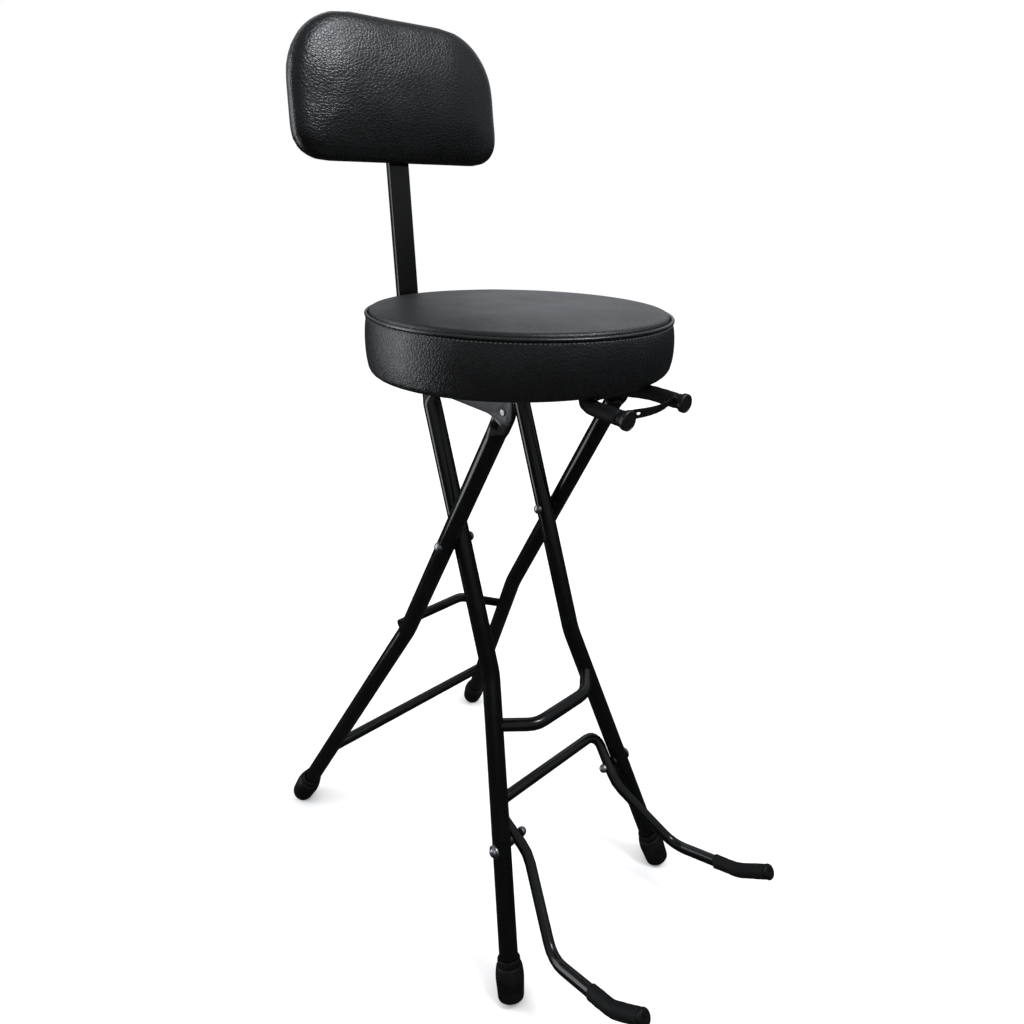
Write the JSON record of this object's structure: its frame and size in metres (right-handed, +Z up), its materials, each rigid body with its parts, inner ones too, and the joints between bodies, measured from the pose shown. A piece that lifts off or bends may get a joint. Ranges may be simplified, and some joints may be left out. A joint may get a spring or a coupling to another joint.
{
  "type": "folding guitar stool",
  "caption": "Folding stool with a round padded seat, a post-mounted backrest, crossed tube legs, a neck yoke and a swing-up instrument cradle.",
  "frame": {"origin": "on the floor, under the middle of the stool's outline", "axes": "+Z up, the sitter faces -Y, +X to the sitter's left, across the stool"},
  "size_m": [0.3576, 0.6152, 1.0851],
  "materials": {
    "vinyl": "satin pebbled vinyl",
    "plywood": "raw plywood",
    "rubber": "matt moulded",
    "foam": "soft foam sleeve",
    "black_plastic": "moulded",
    "chrome": "bright plated",
    "black_paint": "semi-gloss enamel"
  },
  "bodies": {
    "rear_frame": {"crossing_bolt_left": "chrome", "crossing_bolt_right": "chrome", "crossing_nut_left": "chrome", "crossing_nut_right": "chrome", "crossing_washer_left": "black_plastic", "crossing_washer_right": "black_plastic", "lower_rear_bar": "black_paint", "rear_foot_left": "rubber", "rear_foot_right": "rubber", "rear_leg_left": "black_paint", "rear_leg_right": "black_paint", "upper_brace_bar": "black_paint"},
    "front_frame": {"cradle_bolt_left": "chrome", "cradle_bolt_right": "chrome", "cradle_nut_left": "chrome", "cradle_nut_right": "chrome", "cradle_spacer_left": "black_plastic", "cradle_spacer_right": "black_plastic", "footrest_bar": "black_paint", "front_foot_left": "rubber", "front_foot_right": "rubber", "front_leg_left": "black_paint", "front_leg_right": "black_paint", "hook_rod": "black_paint", "hook_rod_nut_left": "chrome", "hook_rod_nut_right": "chrome"},
    "seat": {"arm_screw_1": "chrome", "arm_screw_2": "chrome", "backrest_arm": "black_paint", "pivot_rivet_left": "chrome", "pivot_rivet_right": "chrome", "post_socket": "black_paint", "seat_board": "plywood", "seat_cushion": "vinyl", "seat_pan": "black_paint", "seat_screw_1": "chrome", "seat_screw_2": "chrome", "seat_screw_3": "chrome", "seat_screw_4": "chrome", "seat_welt": "vinyl", "yoke_cap_left": "black_plastic", "yoke_cap_right": "black_plastic", "yoke_rod": "black_paint", "yoke_screw_1": "chrome", "yoke_screw_2": "chrome", "yoke_sleeve": "foam"},
    "strap": {"neck_strap": "rubber"},
    "backrest": {"backrest_board": "plywood", "backrest_pad": "vinyl", "backrest_post": "black_paint", "backrest_screw_1": "chrome", "backrest_screw_2": "chrome", "post_plug": "black_plastic"},
    "knob": {"clamp_knob": "black_plastic"},
    "cradle": {"cradle_cap_left": "black_plastic", "cradle_cap_right": "black_plastic", "cradle_sleeve_left": "foam", "cradle_sleeve_right": "foam", "cradle_tube": "black_paint"}
  },
  "joints": [
    {"name": "frame_fold", "type": "hinge", "parent": "rear_frame", "child": "front_frame", "pos_m": [0, 0.02024, 0.485], "axis": [1, 0, 0], "range_deg": [0, 45.5]},
    {"name": "seat_lift", "type": "hinge", "parent": "rear_frame", "child": "seat", "pos_m": [0, -0.08396, 0.66732], "axis": [1, 0, 0], "range_deg": [0, 118]},
    {"name": "cradle_fold", "type": "hinge", "parent": "front_frame", "child": "cradle", "pos_m": [0, -0.08968, 0.15166], "axis": [-1, 0, 0], "range_deg": [0, 100]},
    {"name": "backrest_height", "type": "slide", "parent": "seat", "child": "backrest", "axis": [0, 0.0767, 0.9971], "range_m": [0, 0.03]},
    {"name": "knob_turn", "type": "hinge", "parent": "seat", "child": "knob", "pos_m": [0, 0.22865, 0.66785], "axis": [0, 0.9971, -0.0767], "continuous": true},
    {"name": "strap_swing", "type": "hinge", "parent": "seat", "child": "strap", "pos_m": [-0.045, -0.19726, 0.67432], "axis": [0, -0.9976, -0.0698], "range_deg": [0, 90]}
  ],
  "couplings": [
    {"joint": "seat_lift", "follows": "frame_fold", "ratio": 2.5934}
  ]
}
